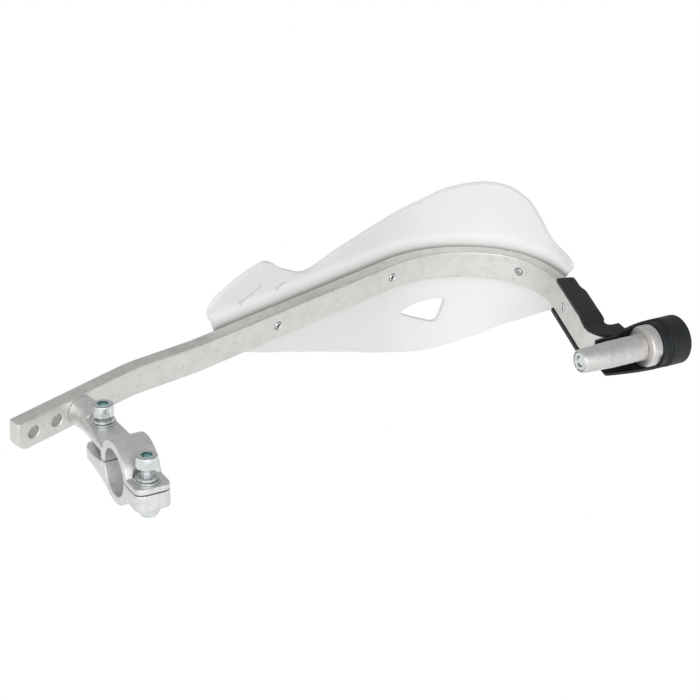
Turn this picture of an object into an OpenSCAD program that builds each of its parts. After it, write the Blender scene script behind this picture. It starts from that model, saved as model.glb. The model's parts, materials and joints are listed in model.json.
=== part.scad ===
// Motorcycle hand guard, right-hand side: a bent flat bar with a two-piece handlebar
// clamp at its inner end, an expanding insert at its outer end, and a plastic shield.
// The origin is the centre of the clamp bore. X runs outboard along the handlebar,
// Y runs forward, away from the rider, and Z runs up, along the clamp bolts.

/* [Handlebar clamp] */
// Diameter of the handlebar that the clamp closes on
handlebar_d = 22.2; // [20:0.2:24]
// Width of the clamp along the handlebar
clamp_w = 17; // [15:0.5:22]
// Wall of the clamp ring around the handlebar
ring_wall = 4.1; // [3.6:0.1:6]
// Gap that stays open between the two halves
split_gap = 0.5; // [0.3:0.1:1.2]
// Distance of the rear bolt behind the handlebar axis
rear_bolt_y = 19; // [18.5:0.5:22]
// Distance of the front bolt in front of the handlebar axis
front_bolt_y = 35.5; // [33:0.5:38]
// Sideways offset of the front bolt
front_bolt_x = 1.5; // [0:0.5:2]
// Thickness of the rear flange of the upper half
upper_flange_t = 2.8; // [2.4:0.2:4]
// Thickness of the rear flange of the lower half
lower_flange_t = 8; // [6:0.5:10]
// Height of the machined flat on the arm above the axis
arm_top_z = 7; // [6.5:0.25:8.5]
// Diameter of the boss that the bar is bolted to
boss_d = 15; // [13:0.5:15.5]
// Length of the round part of the boss
boss_l = 10; // [8:0.5:12]

/* [Bar] */
// Height of the bar's section
bar_h = 16; // [14.5:0.5:20]
// Thickness of the bar's section
bar_t = 7; // [6:0.5:9]
// Chamfer along the bar's four edges
bar_edge = 0.8; // [0.4:0.1:1.5]
// Tilt of the bar's plane, front edge up
bar_bank = 10; // [6:0.5:12]
// Distance of the bar's middle plane below the handlebar axis
bar_drop = 6.4; // [5.6:0.2:7]
// Heading of the bar where it leaves the clamp, forward of straight out
lead_angle = 20; // [16:1:24]
// Forward distance of the boss face from the handlebar axis
boss_face_y = 59.3; // [56:0.5:64]
// Sideways place of the boss hole
boss_face_x = -1; // [-3:0.5:1]
// Length of the bar inboard of the boss hole
tail_l = 37; // [35:1:50]
// Distance from one mounting hole to the next
hole_pitch = 14; // [13:0.5:15]
// Diameter of the mounting holes in the bar
hole_d = 6.5; // [6.4:0.1:7]
// Straight length from the boss hole to the first bend
lead_l = 29.4; // [24:0.5:36]
// Turn of the first bend, towards the rider
first_bend = 9; // [6:0.5:12]
// Straight length between the two small bends
offset_l = 30.4; // [24:0.5:36]
// Turn of the second bend, away from the rider
second_bend = 4.5; // [2:0.5:7]
// Radius of the two small bends on the centre line
small_bend_r = 71; // [50:1:90]
// Straight length in front of the hand
main_l = 135.8; // [124:1:148]
// Turn of the wide bend
wide_bend = 48.5; // [46:0.5:50]
// Radius of the wide bend
wide_r = 77; // [70:1:84]
// Turn of the tight bend at the corner
corner_bend = 72; // [69:0.5:74]
// Radius of the tight bend
corner_r = 39.5; // [34:0.5:44]
// Radius of the last bend, inside the cover
end_r = 10; // [9:0.5:14]
// Straight length of the bar after its last bend
end_l = 3; // [2:0.5:5]
// Depth of the cut that lowers the bar's upper edge at its hidden end
end_low = 2.5; // [1:0.5:4]

/* [Shield] */
// Wall of the shield
shield_t = 2.5; // [2:0.1:3]
// Clearance between the shield and the bar
seat_gap = 0.1; // [0.1:0.05:0.3]
// Depth of the shelf that carries the upper blade out from the bar
shelf_w = 7.75; // [6:0.25:10]
// Radius to which the upper blade curls back
blade_curl_r = 150; // [110:5:300]
// Radius to which the lower skirt curls back
skirt_curl_r = 120; // [100:5:300]
// Height of the upper blade's crest above the middle of the bar
crest_z = 45.5; // [40:0.5:52]
// Height of the low inner lobe above the middle of the bar
lobe_z = 30.5; // [26:0.5:34]
// Height of the dip between the lobe and the crest
dip_z = 14; // [12.5:0.5:18]
// Reach of the lower skirt below the middle of the bar
skirt_z = 54; // [48:0.5:60]
// Where the shield starts, measured along the bar from the boss hole
shield_start = 88; // [84:1:92]
// Where the shield ends, measured along the bar from the boss hole
shield_end = 315; // [311:0.5:316]
// Width of the two strap slits
slit_w = 1.8; // [1.2:0.1:2.4]

/* [End cover and insert] */
// Wall of the cover around the bar
cover_t = 2; // [1.6:0.1:2.6]
// Thickness of the cover's flanges above and below the bar
flange_t = 2.6; // [2:0.1:3]
// Thickness of the cover's back on the outboard side of the leg
back_t = 5.3; // [4:0.1:5.4]
// Height by which the flanges stand past the bar's inner face
flange_over = 0.6; // [0.2:0.1:1]
// Clearance between the cover and the bar
cover_gap = 0.15; // [0.1:0.05:0.3]
// Where the cover starts, measured along the bar from the boss hole
cover_start = 325; // [322:0.5:327]
// Distance from the handlebar axis to the bar's inner face at the end
axis_gap = 12.8; // [12.5:0.1:15]
// Outer radius of the round cup and of the cradle
cup_r = 13; // [12.9:0.1:14]
// Wall of the cup's rim
cup_wall = 2.4; // [2:0.1:2.6]
// Length of the cup outboard of the collar
cup_l = 17.5; // [17:0.5:24]
// Thickness of the web that the bolt clamps
web_t = 3.5; // [3:0.25:5]
// Length of the cradle inboard of the web
cradle_l = 27; // [24:0.5:30]
// Angle by which the cradle's upper edge passes the top, towards the rider
window_over = 6; // [0:1:10]
// Angle by which the cradle's lower edge passes the bottom, towards the rider, at the web
window_under = 36; // [20:1:45]
// Slant at which the lower edge draws back from the web
window_slant = 14; // [8:1:16]
// Distance from the bar's end to the web's inboard face
web_gap = 7.2; // [6:0.1:9]
// Diameter of the collar between the cover and the handlebar end
collar_d = 22; // [20:0.5:22]
// Length of the collar
collar_l = 6.5; // [5:0.5:8]
// Diameter of the expanding sleeve
sleeve_d = 14; // [13:0.2:16]
// Diameter of the sleeve at its inner tip
sleeve_tip_d = 12.4; // [12:0.1:12.8]
// Length of the expanding sleeve
sleeve_l = 39; // [36:0.5:44]
// Length of the sleeve that is truly cylindrical
sleeve_straight_l = 20; // [16:0.5:24]
// Width of the sleeve's expanding slits
sleeve_slit = 1; // [0.8:0.1:1.4]
// Length of the cone nut in the sleeve's tip
cone_l = 9; // [7:0.5:11]

/* [Fasteners] */
// Diameter of the bolts
bolt_d = 6; // [5.5:0.1:6]
// Clearance of a bolt in its hole, on the diameter
bolt_clear = 0.5; // [0.3:0.1:0.8]
// Diameter of the socket heads
head_d = 10; // [9:0.2:10.4]
// Height of the socket heads
head_h = 6; // [5.5:0.25:7]
// Height of the boss bolt's low head
low_head_h = 3; // [2.5:0.25:4]
// Width across the flats of the hex sockets
socket_af = 5; // [4.5:0.25:5.5]
// Depth of the hex sockets
socket_depth = 3.2; // [2.5:0.1:3.6]
// Diameter of the washers
washer_d = 12; // [11.5:0.1:12.4]
// Thickness of the flat washers
washer_t = 1; // [0.8:0.1:1.6]
// Thickness of the spring washers
spring_t = 1.6; // [1.2:0.1:2]
// Height by which the front clamp bolt stands loose
front_loose = 1.2; // [0:0.2:2]
// Height by which the rear clamp bolt stands loose
rear_loose = 4; // [0:0.5:5]
// Width across the flats of the clamp nut
nut_af = 10; // [9:0.25:10]
// Height of the clamp nut with its locking ring
nut_h = 5.5; // [5:0.25:7]
// Diameter of the shield screws
screw_d = 4; // [3.5:0.1:4.2]
// Diameter of the shield screws' heads
screw_head_d = 8; // [7:0.25:9]
// Height of the shield screws' heads
screw_head_h = 2.4; // [2:0.1:3]

/* [Hidden] */
$fn = 48;
bore_r = handlebar_d / 2;
ring_r = bore_r + ring_wall;
hx = clamp_w / 2;
half_gap = split_gap / 2;
bolt_hole_r = (bolt_d + bolt_clear) / 2;
washer_hole_r = bolt_d / 2 + 0.2;
flange_end_y = rear_bolt_y + washer_d / 2 + 2;
leaf_end_y = front_bolt_y + 5;
upper_flange_z = half_gap + upper_flange_t;
lower_flange_z = -half_gap - lower_flange_t;
// Turn of the last bend, which brings the bar's end parallel to the handlebar
end_bend = corner_bend + wide_bend + first_bend - second_bend - lead_angle;
screw_stations = [127, 211.3, 292.9, 338.1];
screw_slot_af = 2.2;
// Angle between the rings of a swept bend
bend_step = 4;

// The bar's centre line: each step is a straight length or a bend [0, turn, radius],
// where a positive turn goes towards the rider
steps_to_leg = [
    [tail_l + lead_l, 0, 0],
    [0, first_bend, small_bend_r],
    [offset_l, 0, 0],
    [0, -second_bend, small_bend_r],
    [main_l, 0, 0],
    [0, wide_bend, wide_r],
    [0, corner_bend, corner_r]];
boss_normal = [-sin(lead_angle), cos(lead_angle)];
boss_dir = [cos(lead_angle), sin(lead_angle)];
bar_start = [
    boss_face_x + boss_normal[0] * bar_t / 2 - boss_dir[0] * tail_l,
    boss_face_y + boss_normal[1] * bar_t / 2 - boss_dir[1] * tail_l,
    lead_angle];
leg_start = pose(steps_to_leg, path_length(steps_to_leg));
// The leg is as long as it takes to bring the bar's end in line with the handlebar
leg_drop = leg_start[1] - axis_gap - bar_t / 2 - end_r * (1 - cos(end_bend));
leg_l = leg_drop / sin(end_bend);
bar_steps = concat(steps_to_leg, [[leg_l, 0, 0], [0, -end_bend, end_r], [end_l, 0, 0]]);
bar_l = path_length(bar_steps);

function step_length(g) = g[1] == 0 ? g[0] : abs(g[1]) * PI / 180 * g[2];
function path_length(steps, i = 0) =
    i >= len(steps) ? 0 : step_length(steps[i]) + path_length(steps, i + 1);
// The first l millimetres of a step
function part_of(g, l) = g[1] == 0 ? [l, 0, 0] : [0, sign(g[1]) * l / g[2] * 180 / PI, g[2]];
// Place and heading after one step
function after(p, g) =
    g[1] == 0
    ? [p[0] + g[0] * cos(p[2]), p[1] + g[0] * sin(p[2]), p[2]]
    : let (k = sign(g[1]), dx = g[2] * sin(abs(g[1])), dy = -k * g[2] * (1 - cos(g[1])))
      [p[0] + dx * cos(p[2]) - dy * sin(p[2]),
       p[1] + dx * sin(p[2]) + dy * cos(p[2]),
       p[2] - g[1]];
// Place and heading at a distance s along the steps
function pose(steps, s, i = 0, p = bar_start) =
    i >= len(steps) ? p :
    s <= step_length(steps[i]) ? after(p, part_of(steps[i], s)) :
    pose(steps, s - step_length(steps[i]), i + 1, after(p, steps[i]));
// Distances from a to b at which a swept section is drawn: the ends of each step, close
// marks in a bend, and marks at most gap apart on a straight length
function marks(steps, a, b, gap, i = 0, s = 0) =
    i >= len(steps) ? [b] :
    let (g = steps[i], l = step_length(g), u = max(a, s), v = min(b, s + l),
         turn_step = g[2] < 20 ? 2 * bend_step : bend_step,
         n = g[1] == 0 ? ceil((v - u) / gap) : ceil(abs(g[1]) * (v - u) / l / turn_step))
    concat(v - u > 0.02 ? [for (k = [0:n - 1]) u + (v - u) * k / n] : [],
        marks(steps, a, b, gap, i + 1, s + l));
// Place at a station measured from the boss hole
function station(s) = pose(bar_steps, tail_l + s);
function station_x(s, n) = let (p = station(s)) p[0] - n * sin(p[2]);

// Unit vector, left normal and mitred offset of a line of points
function unit(v) = v / norm(v);
function left_of(v) = [-v[1], v[0]];
function mitre(pts, i, d) =
    let (a = unit(pts[i] - pts[max(i - 1, 0)] + (i == 0 ? pts[1] - pts[0] : [0, 0])),
         b = unit(pts[min(i + 1, len(pts) - 1)] - pts[i]
             + (i == len(pts) - 1 ? pts[i] - pts[i - 1] : [0, 0])),
         m = unit(left_of(a) + left_of(b)))
    pts[i] + m * d / (m * left_of(a));
function band(pts, t) = concat(
    [for (i = [0:len(pts) - 1]) mitre(pts, i, -t / 2)],
    [for (i = [len(pts) - 1:-1:0]) mitre(pts, i, t / 2)]);
function spline_point(a, b, c, d, u) =
    0.5 * (2 * b + (c - a) * u + (2 * a - 5 * b + 4 * c - d) * u * u
        + (3 * b - a - 3 * c + d) * u * u * u);
// Smooth closed curve through a ring of points
function closed_curve(pts, k) =
    let (n = len(pts))
    [for (i = [0:n - 1]) for (j = [0:k - 1])
        spline_point(pts[(i + n - 1) % n], pts[i], pts[(i + 1) % n], pts[(i + 2) % n], j / k)];
// Height at s of the smooth edge through [distance, height] points
function edge_at(pts, s, i = 0) =
    i < len(pts) - 2 && s > pts[i + 1][0] ? edge_at(pts, s, i + 1) :
    spline_point(pts[max(i - 1, 0)][1], pts[i][1], pts[i + 1][1],
        pts[min(i + 2, len(pts) - 1)][1], (s - pts[i][0]) / (pts[i + 1][0] - pts[i][0]));

function bar_section(grow = 0) =
    let (a = bar_t / 2 + grow, b = bar_h / 2 + grow, c = bar_edge)
    [[-a + c, -b], [a - c, -b], [a, -b + c], [a, b - c],
     [a - c, b], [-a + c, b], [-a, b - c], [-a, -b + c]];
// The room for the bar in the cover, open towards the hand
function channel_section() =
    let (a = bar_t / 2 + cover_gap, b = bar_h / 2 + cover_gap, inner = -bar_t / 2 - 4)
    [[inner, -b], [a, -b], [a, b], [inner, b]];
// The cover's outer section where its back is t thick
function cover_section(t) =
    let (a = bar_t / 2 + cover_gap + t, b = bar_h / 2 + cover_gap + flange_t,
         inner = -bar_t / 2 - flange_over)
    [[inner, -b], [a - 1.5, -b], [a, -b + 1.5], [a, b - 1.5], [a - 1.5, b], [inner, b]];
// Thickness of the cover's back: less at its start, full on the leg, thin round the end
last_bend = bar_l - tail_l - end_l - step_length([0, end_bend, end_r]);
function cover_back(s) =
    s < cover_start + 9 ? back_t - 1.8 :
    s < cover_start + 13 ? back_t - 1.8 + 1.8 * (s - cover_start - 9) / 4 :
    s < last_bend ? back_t :
    max(cover_t, back_t - (back_t - cover_t) * (s - last_bend) / (bar_l - tail_l - end_l - last_bend));

// Distance of the shield's wall from the bar's centre line at a height z
wall_n = bar_t / 2 + seat_gap + shield_t / 2;
blade_n = wall_n + shelf_w;
shelf_z = bar_h / 2 + shield_t / 2;
function blade_at(z) = blade_n - (z - shelf_z) * (z - shelf_z) / (2 * blade_curl_r);
function skirt_at(z) = wall_n - (z + bar_h / 2) * (z + bar_h / 2) / (2 * skirt_curl_r);
function shield_n(z) = z > shelf_z ? blade_at(z) : z > 0 ? blade_n : z > -bar_h / 2 ? wall_n : skirt_at(z);
// The shield's edges as distances from the boss hole and heights, with the named
// heights at the lobe, the dip, the crest and the skirt
blade_edge = [
    [shield_start, dip_z - 2], [shield_start + 5, dip_z + 4], [99, 20.5], [109, lobe_z - 5],
    [121, lobe_z], [130, lobe_z - 0.5], [143, dip_z + 6.5], [159, dip_z],
    [183, dip_z + 6], [215, dip_z + 13.5], [234, crest_z - 11.5], [249, crest_z - 4],
    [267, crest_z], [280, crest_z - 2], [290, crest_z - 9], [296, crest_z - 19.5],
    [301, 18.5], [306, 14], [311, 12.2], [shield_end, 11.6]];
skirt_edge = [
    [shield_start, -9.5], [100, -10], [124, 35 - skirt_z], [151, 25.5 - skirt_z],
    [188, 13 - skirt_z], [212, 4.5 - skirt_z], [233, -skirt_z], [251, 0.5 - skirt_z],
    [273, 7 - skirt_z], [297, -32.5], [312, -19.5], [shield_end, -17]];
// Depth of the shelf, which runs out at the shield's outer end
shelf_depth = [[shield_start, shelf_w], [290, shelf_w], [301, shelf_w - 0.5],
    [308, shelf_w - 2.5], [shield_end, shelf_w - 5]];
// The wall's middle line in section at a distance s from the boss hole
function shield_line(s) =
    let (top = edge_at(blade_edge, s), low = edge_at(skirt_edge, s), side = -bar_h / 2,
         back = shelf_w - edge_at(shelf_depth, s), n = blade_n - back,
         turn = min(2, (top - shelf_z) * 0.5))
    concat(
        [for (i = [0:3]) let (z = top + (shelf_z + turn - top) * i / 3) [blade_at(z) - back, z]],
        [[n - 0.3 * turn, shelf_z + 0.3 * turn],
         [n - turn, shelf_z],
         [wall_n + 1.4 - back * 0.1, shelf_z],
         [wall_n, shelf_z - 1.4],
         [wall_n, 0]],
        [for (i = [0:4]) let (z = side + (low - side) * i / 4) [skirt_at(z), z]]);
vent_outline = [
    [226, -30], [234, -26.8], [244, -25.2], [251.5, -25.6], [252.8, -28.2],
    [248.6, -38.6], [238.5, -36.6], [230, -33]];
long_slit = [[113, 11.2], [127, 16.2]];
short_slit = [[138.4, 9.4], [144.4, 11.4]];
function to_plan(pts) = [for (p = pts) [station_x(p[0], shield_n(p[1])), p[1]]];

// A solid through sections drawn outward (x) and up (y), anticlockwise, one at each mark
module sweep_solid(sections, at) {
    m = len(sections[0]);
    n = len(at);
    polyhedron(
        points = [for (k = [0:n - 1]) let (q = pose(bar_steps, at[k])) for (c = sections[k])
            [q[0] - c[0] * sin(q[2]), q[1] + c[0] * cos(q[2]), c[1]]],
        faces = concat(
            [[for (i = [0:m - 1]) i]],
            [[for (i = [m - 1:-1:0]) (n - 1) * m + i]],
            [for (j = [0:n - 2]) for (i = [0:m - 1])
                let (a = j * m + i, b = j * m + (i + 1) % m, c = a + m, d = b + m)
                for (f = [[a, c, d], [a, d, b]]) f]),
        convexity = 8);
}
module place(p) {
    translate([p[0], p[1], 0]) rotate([0, 0, p[2]]) children();
}
module in_bar_frame() {
    rotate([bar_bank, 0, 0]) translate([0, 0, -bar_drop]) children();
}
// One section carried between two distances from the bar's inner end
module bar_sweep(a, b, section) {
    at = marks(bar_steps, a, b, 1000);
    sweep_solid([for (s = at) section], at);
}
// Frame at a station with Z pointing outward, on the bar's centre line
module outward_at(s) {
    place(station(s)) rotate([-90, 0, 0]) children();
}
// Frame of the insert: X is the handlebar axis, 0 is the web's inboard face
module insert_frame() {
    in_bar_frame() place(pose(bar_steps, bar_l))
        translate([web_gap, -bar_t / 2 - axis_gap, bar_drop]) children();
}
module x_rod(r, a, b, fn = 64) {
    translate([a, 0, 0]) rotate([0, 90, 0]) cylinder(r = r, h = b - a, $fn = fn);
}
// A figure turned about X: its points are distances from the axis and places along X
module x_turn(pts, fn = 64) {
    rotate([90, 0, 90]) rotate_extrude($fn = fn) polygon(pts);
}
module hex_rod(af, h) {
    cylinder(r = af / sqrt(3), h = h, $fn = 6);
}
// Bent flat bar
module guard_bar() {
    color([0.83, 0.82, 0.80]) in_bar_frame() difference() {
        bar_sweep(0, bar_l, bar_section());
        end_cut(0);
        for (i = [0:2]) outward_at(-i * hole_pitch)
            translate([0, 0, -bar_t]) cylinder(d = hole_d, h = 2 * bar_t);
        for (s = screw_stations) outward_at(s)
            translate([0, 0, -bar_t]) cylinder(d = screw_d + 0.1, h = 2 * bar_t);
        outward_at(-tail_l) difference() {
            translate([-1, bar_h / 2 - 6, -bar_t]) cube([7, 7, 2 * bar_t]);
            translate([6, bar_h / 2 - 6, -bar_t]) cylinder(r = 6, h = 2 * bar_t);
        }
    }
}

// Translucent plastic shield with a vent and two strap slits
module slit(ends) {
    a = to_plan(ends)[0];
    b = to_plan(ends)[1];
    turn = atan2(b[1] - a[1], b[0] - a[0]);
    translate(a) rotate(turn) translate([0, -slit_w / 2]) square([norm(b - a), slit_w]);
}
module through_cut() {
    translate([0, boss_face_y + 150, 0]) rotate([90, 0, 0]) linear_extrude(200) children();
}
module shield() {
    seat_n = bar_t / 2 + seat_gap + shield_t - 0.4;
    at = marks(bar_steps, tail_l + shield_start, tail_l + shield_end, 7);
    color([0.94, 0.95, 0.95]) in_bar_frame() difference() {
        sweep_solid([for (s = at) band(shield_line(s - tail_l), shield_t)], at);
        through_cut() polygon(closed_curve(to_plan(vent_outline), 3));
        through_cut() slit(long_slit);
        through_cut() slit(short_slit);
        for (i = [0:2]) outward_at(screw_stations[i]) {
            cylinder(d = screw_d + 0.1, h = 20);
            translate([0, 0, seat_n]) cylinder(d = screw_head_d + 0.6, h = 3);
        }
    }
}
module shield_screw(i) {
    on_cover = i == 3;
    seat_n = bar_t / 2 + (on_cover ? cover_gap + cover_t - 0.3 : seat_gap + shield_t - 0.4);
    color([0.72, 0.74, 0.75]) in_bar_frame() outward_at(screw_stations[i]) difference() {
        union() {
            translate([0, 0, -bar_t / 2 - 0.3]) cylinder(d = screw_d, h = seat_n + bar_t / 2 + 0.3);
            translate([0, 0, seat_n]) cylinder(d = screw_head_d, h = screw_head_h * 0.6);
            translate([0, 0, seat_n + screw_head_h * 0.6])
                cylinder(d1 = screw_head_d, d2 = screw_head_d - 2, h = screw_head_h * 0.4);
        }
        translate([0, 0, seat_n + screw_head_h - 1.4]) hex_rod(screw_slot_af, 3);
    }
}

// Black cover: a channel over the bar's leg, a cradle and a round cup
// What is cut off above the bar's end, for an upper edge that stands g above the bar's
module end_cut(g) {
    top = bar_h / 2 - end_low + g;
    y = axis_gap + bar_t + 4;
    rotate([90, 0, 90]) linear_extrude(2 * station_x(shield_end, 0))
        polygon([[0, top], [y, top], [y + 10, bar_h / 2 + g + 0.01], [y + 10, 40], [0, 40]]);
}
module bar_end_gap() {
    place(pose(bar_steps, bar_l)) translate([-0.5, -bar_t / 2 - 4, -bar_h / 2 - cover_gap])
        cube([0.5 + cover_gap, bar_t + 4 + cover_gap, bar_h + 2 * cover_gap]);
}
module end_cover() {
    seat_n = bar_t / 2 + cover_gap + cover_t - 0.3;
    cup_bore = cup_r - cup_wall;
    at = marks(bar_steps, tail_l + cover_start, bar_l, 4);
    color([0.13, 0.15, 0.16]) difference() {
        union() {
            in_bar_frame() difference() {
                union() {
                    sweep_solid([for (s = at) cover_section(cover_back(s - tail_l))], at);
                    place(pose(bar_steps, bar_l))
                        translate([-0.5, -bar_t / 2 - flange_over, -bar_h / 2 - cover_gap - flange_t])
                        cube([0.5 + cover_gap + cover_t, bar_t + flange_over + cover_gap + cover_t,
                            bar_h + 2 * cover_gap + 2 * flange_t]);
                }
                end_cut(cover_gap + flange_t);
            }
            insert_frame() {
                x_rod(cup_r, -cradle_l, 0);
                x_turn([[0, 0], [cup_r, 0], [cup_r, cup_l - 1.2], [cup_r - 1.2, cup_l], [0, cup_l]]);
            }
        }
        in_bar_frame() {
            difference() {
                union() {
                    bar_sweep(tail_l + cover_start - 2, bar_l, channel_section());
                    bar_end_gap();
                }
                end_cut(cover_gap);
            }
            outward_at(screw_stations[3]) {
                cylinder(d = screw_d + 0.1, h = 20);
                translate([0, 0, seat_n]) cylinder(d = screw_head_d + 0.6, h = 3);
            }
        }
        insert_frame() {
            x_rod(bore_r + 0.2, -cradle_l - 30, 0);
            x_rod(bolt_hole_r, -1, web_t + 1);
            x_rod(cup_bore, web_t, cup_l + 1);
            translate([-cradle_l - 40, -60 - cup_r * sin(window_over), 0])
                cube([cradle_l + 40, 60, 60]);
            translate([0, -cup_r * sin(window_under), -60]) rotate([0, 0, -window_slant])
                translate([-cradle_l - 40, -60, 0]) cube([cradle_l + 40, 60, 60.01]);
        }
    }
}

// Upper clamp half: half ring, rear flange, and an arm that runs out into a round boss
module boss_frame() {
    in_bar_frame() place([boss_face_x, boss_face_y, lead_angle]) rotate([90, 0, 0]) children();
}
module clamp_upper() {
    color([0.76, 0.76, 0.76]) difference() {
        union() {
            difference() {
                x_rod(ring_r, -hx, hx, 96);
                translate([-hx - 1, -ring_r - 1, -2 * ring_r])
                    cube([clamp_w + 2, 2 * ring_r + 2, 2 * ring_r + half_gap]);
            }
            translate([-hx, -flange_end_y, half_gap]) intersection() {
                cube([clamp_w, flange_end_y, upper_flange_t]);
                flange_plan();
            }
            hull() {
                boss_frame() translate([0, 0, boss_l - 3])
                    cylinder(d = boss_d - 0.8, h = 1, $fn = 32);
                translate([-hx + 1.2, ring_r - 1.3, half_gap + 2.4])
                    cube([clamp_w - 2.4, 2, arm_top_z - half_gap - 1.6]);
                translate([-hx + 0.3, ring_r - 1.3, half_gap + 3.6])
                    cube([clamp_w - 0.6, 2, arm_top_z - half_gap - 4.4]);
            }
            translate([-hx, bore_r * 0.7, half_gap + 2.8])
                cube([clamp_w, ring_r - bore_r * 0.7, arm_top_z - half_gap - 2.8]);
            boss_frame() cylinder(d = boss_d, h = boss_l);
        }
        x_rod(bore_r, -hx - 1, hx + 1, 96);
        translate([-30, ring_r - 3.1, arm_top_z])
            cube([60, front_bolt_y + 10 - ring_r, 20]);
        translate([0, -rear_bolt_y, upper_flange_z]) cylinder(d = washer_d + 1.2, h = 20);
        translate([0, -rear_bolt_y, -1]) cylinder(r = bolt_hole_r, h = 20);
        translate([front_bolt_x, front_bolt_y, -20]) cylinder(r = bolt_hole_r, h = 40);
        boss_frame() translate([0, 0, -1]) cylinder(d = bolt_d, h = boss_l + 6);
    }
}
module flange_plan() {
    translate([0, 0, -20]) linear_extrude(40) union() {
        translate([4, 0]) square([clamp_w - 8, flange_end_y]);
        translate([0, 4]) square([clamp_w, flange_end_y]);
        for (x = [4, clamp_w - 4]) translate([x, 4]) circle(r = 4);
    }
}

// Lower clamp half: half ring, rear flange and a front leaf that the front bolt screws into
module clamp_lower() {
    leaf_top = -half_gap - 0.8;
    color([0.78, 0.78, 0.78]) difference() {
        union() {
            difference() {
                x_rod(ring_r, -hx, hx, 96);
                translate([-hx - 1, -ring_r - 1, -half_gap])
                    cube([clamp_w + 2, 2 * ring_r + 2, 2 * ring_r]);
            }
            translate([-hx, -flange_end_y, lower_flange_z]) intersection() {
                cube([clamp_w, flange_end_y - 2, lower_flange_t]);
                flange_plan();
            }
            intersection() {
                translate([-hx, 0, 0]) rotate([90, 0, 90]) linear_extrude(clamp_w) polygon([
                    [2, leaf_top], [bore_r, leaf_top], [front_bolt_y - 8, leaf_top - 1.9],
                    [front_bolt_y - 2, leaf_top - 0.7], [leaf_end_y, leaf_top - 2.2],
                    [leaf_end_y, lower_flange_z + 1], [leaf_end_y - 1, lower_flange_z],
                    [front_bolt_y - 7, lower_flange_z], [bore_r + 3, lower_flange_z - 2.4],
                    [6, -ring_r + 1.5], [2, -ring_r + 1]]);
                translate([0, 0, -40]) linear_extrude(60) union() {
                    translate([-hx, 0]) square([clamp_w, front_bolt_y - 2]);
                    translate([front_bolt_x - 2, front_bolt_y - 2]) circle(r = 7);
                    translate([front_bolt_x, front_bolt_y - 2]) circle(r = 7);
                }
            }
        }
        x_rod(bore_r, -hx - 1, hx + 1, 96);
        translate([0, -rear_bolt_y, -20]) cylinder(r = bolt_hole_r, h = 40);
        translate([front_bolt_x, front_bolt_y, -30]) cylinder(d = bolt_d, h = 60);
    }
}

// Socket head screw: under-head plane at 0, shank down
module socket_screw(l, h = head_h) {
    depth = socket_depth * h / head_h;
    color([0.70, 0.72, 0.73]) difference() {
        union() {
            translate([0, 0, -l]) cylinder(d = bolt_d, h = l);
            cylinder(d = head_d, h = h - 0.6);
            translate([0, 0, h - 0.6]) cylinder(d1 = head_d, d2 = head_d - 1.2, h = 0.6);
        }
        translate([0, 0, h - depth]) hex_rod(socket_af, depth + 1);
    }
}
module ring_washer(t) {
    difference() {
        cylinder(d = washer_d, h = t);
        translate([0, 0, -1]) cylinder(r = washer_hole_r, h = t + 2);
    }
}
module split_washer() {
    difference() {
        ring_washer(spring_t);
        rotate([0, 0, 200]) translate([0, -0.4, -1]) cube([washer_d, 0.8, spring_t + 2]);
    }
}
front_stack = arm_top_z + washer_t + spring_t;
rear_stack = upper_flange_z + washer_t + spring_t;
module clamp_bolt_front() {
    translate([front_bolt_x, front_bolt_y, front_stack + front_loose])
        socket_screw(front_stack + front_loose - lower_flange_z);
}
module clamp_bolt_rear() {
    translate([0, -rear_bolt_y, rear_stack + rear_loose])
        socket_screw(rear_stack + rear_loose - lower_flange_z + nut_h);
}
module flat_washer_front() {
    color([0.78, 0.80, 0.80]) translate([front_bolt_x, front_bolt_y, arm_top_z]) ring_washer(washer_t);
}
module flat_washer_rear() {
    color([0.78, 0.80, 0.80]) translate([0, -rear_bolt_y, upper_flange_z]) ring_washer(washer_t);
}
module spring_washer_front() {
    color([0.66, 0.68, 0.69])
        translate([front_bolt_x, front_bolt_y, arm_top_z + washer_t]) split_washer();
}
module spring_washer_rear() {
    color([0.66, 0.68, 0.69])
        translate([0, -rear_bolt_y, upper_flange_z + washer_t]) split_washer();
}
module clamp_nut() {
    color([0.80, 0.84, 0.85]) translate([0, -rear_bolt_y, lower_flange_z - nut_h]) difference() {
        union() {
            translate([0, 0, 1.5]) intersection() {
                hex_rod(nut_af, nut_h - 1.5);
                cylinder(r1 = nut_af * 0.52, r2 = nut_af * 0.62, h = nut_h - 1.5);
            }
            cylinder(d1 = nut_af - 2.4, d2 = nut_af - 0.8, h = 1.5);
        }
        translate([0, 0, -1]) cylinder(d = bolt_d, h = nut_h + 2);
    }
}

// Bolt from the front through the bar into the boss, with its washer
module boss_bolt() {
    in_bar_frame() outward_at(0) translate([0, 0, bar_t / 2 + washer_t])
        socket_screw(bar_t + washer_t + boss_l + 2, low_head_h);
}
module boss_washer() {
    color([0.78, 0.80, 0.80]) in_bar_frame() outward_at(0)
        translate([0, 0, bar_t / 2]) ring_washer(washer_t);
}

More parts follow.
